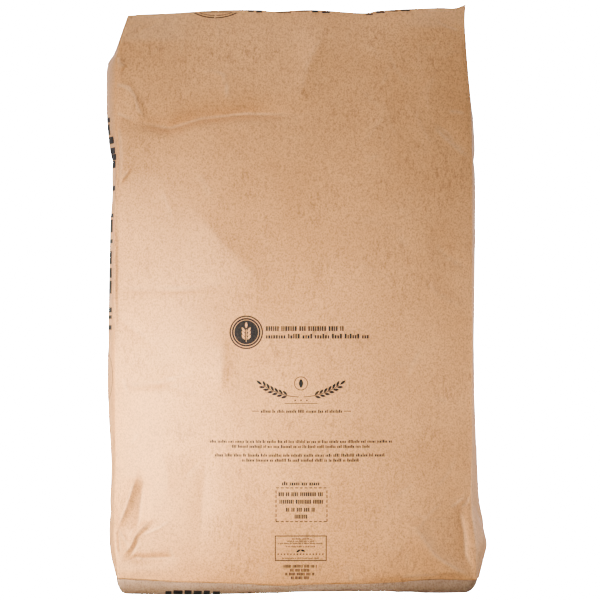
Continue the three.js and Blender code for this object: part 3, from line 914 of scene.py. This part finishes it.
# the outlined box: fine lines, two small grains and a row of dots, with four lines beneath
BOX_PIXELS = ((275.3, 536.5), (326.3, 561.4))
BOX_LINES = ((292, 312, 539.4), (287, 315, 541.7), (278, 323, 544.0), (286, 315, 547.2),
             (282, 319, 559))
EMBLEM_PIXEL = (300.5, 551.6)
EMBLEM_GRAINS = ((-2.2, 0, 35), (2.4, 0.3, -20))
EMBLEM_GRAIN = (5.2, 2.2)
DOT_ROW_PIXELS = ((277.5, 555.6), (324, 554.3))
DOT_WIDTH, DOT_PITCH = 1.3, 3.3
LINES_BENEATH = ((283.5, 317.6, 567.3), (290, 310, 571.5), (285, 315, 575.3), (291, 309, 579.2))
(x0, z1), (x1, z0) = (at(*corner) for corner in BOX_PIXELS)
for z in (z0, z1):
    panel.block(x0 - 0.5, x1 + 0.5, z - HALF_LINE, z + HALF_LINE)
for x in (x0, x1):
    panel.block(x - HALF_LINE, x + HALF_LINE, z0 + HALF_LINE, z1 - HALF_LINE)
lines_about(BOX_LINES, 0.7)
emblem_x, emblem_z = at(*EMBLEM_PIXEL)
for x, z, angle in EMBLEM_GRAINS:
    panel.grain((emblem_x + x, emblem_z + z), *EMBLEM_GRAIN, angle)
(x0, z0), (x1, z1) = (at(*end) for end in DOT_ROW_PIXELS)
for x in np.arange(x0, x1, DOT_PITCH):
    panel.block(x, x + DOT_WIDTH, z0, z1)
lines_about(LINES_BENEATH, 1.4, True)

# a wheat ornament: two ears that rise from the middle, under a ring with one grain
ORNAMENT_PIXEL = (301, 397)
EAR_RADIUS = 70.0
EAR_ANGLES = (2, 34)
HALF_STALK = 0.35
GRAIN_ANGLES = range(14, 36, 4)
GRAIN_OUT, GRAIN_LEAN = 2.2, 30
EAR_GRAIN = (6.2, 2.5)
TIP_ANGLE = 38
TIP_GRAIN = (7, 2.6)
KERNEL_UP = 14
KERNEL_RING = (6.4, 7.1)
KERNEL = (9.5, 4.4)
RULE_HALF = 17
RULE_DOWN = (7.0, 6.4)
DOTS_DOWN = 3.4
DOT_PLACES = (-6, 0, 6)
DOT_RADIUS = 0.8
middle_x, ground = at(*ORNAMENT_PIXEL)
bow_z = ground + EAR_RADIUS
for side in (-1, 1):
    stalk = sorted(270 + side * turn for turn in EAR_ANGLES)
    panel.arc((middle_x, bow_z), EAR_RADIUS - HALF_STALK, EAR_RADIUS + HALF_STALK, *stalk)
    for turn in GRAIN_ANGLES:
        angle = math.radians(270 + side * turn)
        for hand in (-1, 1):
            radius = EAR_RADIUS + hand * GRAIN_OUT
            centre = (middle_x + radius * math.cos(angle), bow_z + radius * math.sin(angle))
            lean = 90 - hand * side * GRAIN_LEAN
            panel.grain(centre, *EAR_GRAIN, math.degrees(angle) + lean)
    tip = math.radians(270 + side * TIP_ANGLE)
    panel.grain((middle_x + EAR_RADIUS * math.cos(tip), bow_z + EAR_RADIUS * math.sin(tip)),
                *TIP_GRAIN, math.degrees(tip) + 90)
panel.arc((middle_x, ground + KERNEL_UP), *KERNEL_RING)
panel.grain((middle_x, ground + KERNEL_UP), *KERNEL, 90)
panel.block(middle_x - RULE_HALF, middle_x + RULE_HALF, *(ground - down for down in RULE_DOWN))
for x in DOT_PLACES:
    panel.arc((middle_x + x, ground - DOTS_DOWN), CENTRE, DOT_RADIUS)

# print that runs over the folds: the foot of a ring and of a row of blocks under the top rim, each
# block given by its left and right pixels and its height
RIM_DEPTH = 47
RIM_RING_PIXEL = (215.5, -29)
RIM_ARCS = ((48.4, 49.3, 243, 297), (46.2, 46.7, 249, 291))
RIM_BLOCKS = (
    (200, 232, 0.6), (248, 254, 1.5), (256, 262, 1.8), (276, 291, 0.8), (295, 309, 0.8),
    (312, 318, 1.9), (322, 330, 1.7), (366, 373, 1.3), (376, 385, 1.5), (389, 398, 1.0),
    (401, 410, 1.3))
RIM_GAP = 0.3
rim_ring = at(*RIM_RING_PIXEL, RIM_DEPTH)
for arc in RIM_ARCS:
    panel.arc(rim_ring, *arc)
for left, right, tall in RIM_BLOCKS:
    x0, x1 = (at(end, 0, RIM_DEPTH)[0] for end in (left, right))
    rim = min(front_rim(np.array((x0, x1))))
    panel.block(x0, x1, rim - RIM_GAP - tall, rim - RIM_GAP)
panel.piece("panel_print", ink, "print_ink")

# the badge's own motif, an ear of wheat and a ring left bare in the ink
MOTIF_RING = (12.4, 13.0)
STEM_HALF = 0.4
STEM_ENDS = (-10.0, 3.0)
PAIR_LEVELS = (-5.0, -1.2, 2.6)
PAIR_OUT, PAIR_LEAN = 2.9, 32
PAIR_GRAIN = (5.8, 2.5)
HEAD_LEVEL = 7.4
HEAD_GRAIN = (6.2, 2.7)
badge_x, badge_z = badge
pale = Ink(panel_skin, 1, proud=2 * INK_PROUD)
pale.arc(badge, *MOTIF_RING)
pale.block(badge_x - STEM_HALF, badge_x + STEM_HALF, *(badge_z + end for end in STEM_ENDS))
for level in PAIR_LEVELS:
    for side in (-1, 1):
        pale.grain((badge_x + side * PAIR_OUT, badge_z + level), *PAIR_GRAIN, 90 - side * PAIR_LEAN)
pale.grain((badge_x, badge_z + HEAD_LEVEL), *HEAD_GRAIN, 90)
pale.piece("badge_motif", kraft, "kraft_paper")


def gusset_skin(s, z):
    """The left gusset's skin, a way back from its front edge and up."""
    w = (z - FOLD_HEIGHT) / (RIM_HEIGHT - FOLD_HEIGHT)
    return on_skin(left_face, deep_steps, up_steps, s / (2 * edge_depth(z)), w)


# the left gusset's print: a column of bars, each from its own start, and a ring with two marks. A bar
# is given by its top and bottom pixels and its start in millimetres behind the edge.
GUSSET_BARS = (
    (114.5, 119.5, 14), (121, 132, 17), (134, 141, 8.5), (145, 151.5, 6), (151.8, 158, 3.4),
    (158.5, 166, 5), (184, 189, 3), (212, 216, 6), (218, 231, 8), (238, 242, 7),
    (250, 263, 10), (267, 277, 9.5), (280, 293, 9.5), (307, 312, 8), (315, 318.5, 9),
    (325, 329.5, 9))
GUSSET_REACH = 46
GUSSET_FRONT = 40
GUSSET_RING_PIXEL = 377
GUSSET_RING = (24.6, 25.4)
GUSSET_MARK_PIXELS = (366, 374)
GUSSET_MARK = (26, 30)
MARK_HEIGHT = 2
gusset = Ink(gusset_skin, -1, cell=1.4)
for high, low, start in GUSSET_BARS:
    z0, z1 = (at(0, end, GUSSET_FRONT)[1] for end in (low, high))
    gusset.block(start, GUSSET_REACH, z0, z1)
gusset.arc((GUSSET_MARK[1], at(0, GUSSET_RING_PIXEL, GUSSET_FRONT)[1]), *GUSSET_RING)
for high in GUSSET_MARK_PIXELS:
    z = at(0, high, GUSSET_FRONT)[1]
    gusset.block(*GUSSET_MARK, z - MARK_HEIGHT, z)
gusset.piece("gusset_print", ink, "print_ink")


def foot_skin(x, inset):
    """The turned-up edge of the bottom sheet, across and in from the fold's rim."""
    u = (x - left_edge(FOLD_HEIGHT)) / (right_edge(FOLD_HEIGHT) - left_edge(FOLD_HEIGHT))
    return on_skin(foot_face, foot_columns, foot_rows, u, inset)


# the heads of a row of blocks on the bottom sheet, which go on under the sack, each given by its
# left and right pixels and its start in millimetres from the fold's rim
FOOT_BLOCKS = (
    (165, 171, 6.4), (173, 182, 5.6), (184, 191, 5.4), (193, 201, 5.6), (203, 209, 5.4),
    (212, 219, 6.0), (238, 243, 7.4), (247, 250, 7.0), (262, 268, 8.4), (283, 288, 8.6),
    (300, 306, 9.0), (318, 322, 9.0), (335, 345, 9.4), (360, 366, 9.0), (378, 384, 8.0),
    (400, 410, 7.6))
FOOT_REACH = 13.5
FOOT_FRONT = 66
foot = Ink(foot_skin, -1, proud=0.2, cell=0.9)
for left, right, start in FOOT_BLOCKS:
    x0, x1 = (at(end, 0, FOOT_FRONT)[0] for end in (left, right))
    foot.block(x0, x1, start, FOOT_REACH)
foot.piece("foot_print", ink, "print_ink")


# The studio: a white sweep to stand on, a large soft light from the lower left with weak ones that
# model the corners, and the bright surroundings of a cut-out product shot.
FLOOR_HALF = 20.0
CUT_OUT_STRENGTH = 18.0


def seen_as(tree, seen, other):
    """A shader for what the camera sees, and another for what the light does."""
    eye = add(tree, "ShaderNodeLightPath").outputs["Is Camera Ray"]
    return add(tree, "ShaderNodeMixShader",
               [(0, eye), (1, other.outputs[0]), (2, seen.outputs[0])]).outputs[0]


floor_mesh = bpy.data.meshes.new("floor")
floor_corners = [(x * FLOOR_HALF, y * FLOOR_HALF, 0) for x, y in ((-1, -1), (1, -1), (1, 1), (-1, 1))]
floor_mesh.from_pydata(floor_corners, [], [(0, 1, 2, 3)])
floor_material, floor_tree = new_material("white_floor")
matt = add(floor_tree, "ShaderNodeBsdfPrincipled", [
    ("Base Color", (0.35, 0.35, 0.35, 1)), ("Roughness", 0.9)])
cut_out = add(floor_tree, "ShaderNodeEmission", [
    ("Color", (1, 1, 1, 1)), ("Strength", CUT_OUT_STRENGTH)])
add(floor_tree, "ShaderNodeOutputMaterial", [("Surface", seen_as(floor_tree, cut_out, matt))])
floor_mesh.materials.append(floor_material)
floor = bpy.data.objects.new("floor", floor_mesh)
bpy.context.scene.collection.objects.link(floor)


def soft_light(name, place, size, watts, aim, spread=180, colour=(1, 1, 1)):
    """A soft box that is aimed at a point, and keeps its light within a spread in degrees."""
    light = bpy.data.lights.new(name, "AREA")
    light.color = colour
    light.shape = "RECTANGLE"
    light.size, light.size_y = size
    light.energy = watts
    light.spread = math.radians(spread)
    lamp = bpy.data.objects.new(name, light)
    lamp.location = place
    direction = lamp.location - type(lamp.location)(aim)
    lamp.rotation_euler = direction.to_track_quat("Z", "Y").to_euler()
    lamp.visible_camera = False
    bpy.context.scene.collection.objects.link(lamp)


soft_light("key", (-1.65, -2.2, 0.42), (1.0, 0.8), 6.4, (0, 0, 0.28), colour=(1.0, 0.96, 0.85))
soft_light("near", (-0.80, -1.10, 0.16), (0.35, 0.3), 1.2, (-0.19, -0.08, 0.15), spread=33,
           colour=(1.0, 0.97, 0.91))
soft_light("side", (-1.5, -0.75, 0.12), (0.5, 0.2), 0.85, (-0.15, -0.05, 0.27), spread=40,
           colour=(1.0, 0.91, 0.76))
soft_light("right", (0.40, -1.5, 0.18), (0.4, 0.3), 0.16, (0.24, -0.07, 0.22), spread=24)
soft_light("rim", (1.2, 0.12, 0.20), (0.4, 0.3), 0.4, (0.19, -0.01, 0.20), spread=40)
soft_light("top", (-0.3, -1.3, 1.45), (0.3, 0.3), 0.18, (0, -0.05, 0.69), spread=24)

world = bpy.data.worlds.new("studio")
world.use_nodes = True
sky = world.node_tree
sky.nodes.clear()
seen = add(sky, "ShaderNodeBackground", [("Color", (1, 1, 1, 1)), ("Strength", CUT_OUT_STRENGTH)])
way = add(sky, "ShaderNodeTexCoord").outputs["Generated"]
place = add(sky, "ShaderNodeSeparateXYZ", [(0, way)]).outputs
from_below = ramp(sky, place["Z"], -0.1, 0.6, 0.90, 0.56)
from_behind = ramp(sky, place["Y"], 0.0, 0.5, 1.0, 1.2)
strength = combine(sky, "MULTIPLY", from_below, from_behind)
low_colour, high_colour = (1.0, 1.0, 1.03, 1), (0.92, 0.99, 1.17, 1)
cool = blend_colour(sky, ramp(sky, place["Z"], 0.0, 0.6), low_colour, high_colour)
lit = add(sky, "ShaderNodeBackground", [("Color", cool), ("Strength", strength)])
add(sky, "ShaderNodeOutputWorld", [("Surface", seen_as(sky, seen, lit))])
bpy.context.scene.world = world
bpy.context.scene.view_settings.view_transform = "AgX"
bpy.context.scene.view_settings.look = "AgX - High Contrast"

# The camera looks straight on from 3 m, level with the middle of the sack.
camera_data = bpy.data.cameras.new("camera")
camera_data.sensor_fit = "HORIZONTAL"
camera_data.angle = 2 * math.atan(FRAME_WIDTH / 2 / CAMERA_DISTANCE)
camera = bpy.data.objects.new("camera", camera_data)
camera.location = (CAMERA_X * MM, -CAMERA_DISTANCE * MM, CAMERA_Z * MM)
camera.rotation_euler = (math.pi / 2, 0, 0)
bpy.context.scene.collection.objects.link(camera)
bpy.context.scene.camera = camera
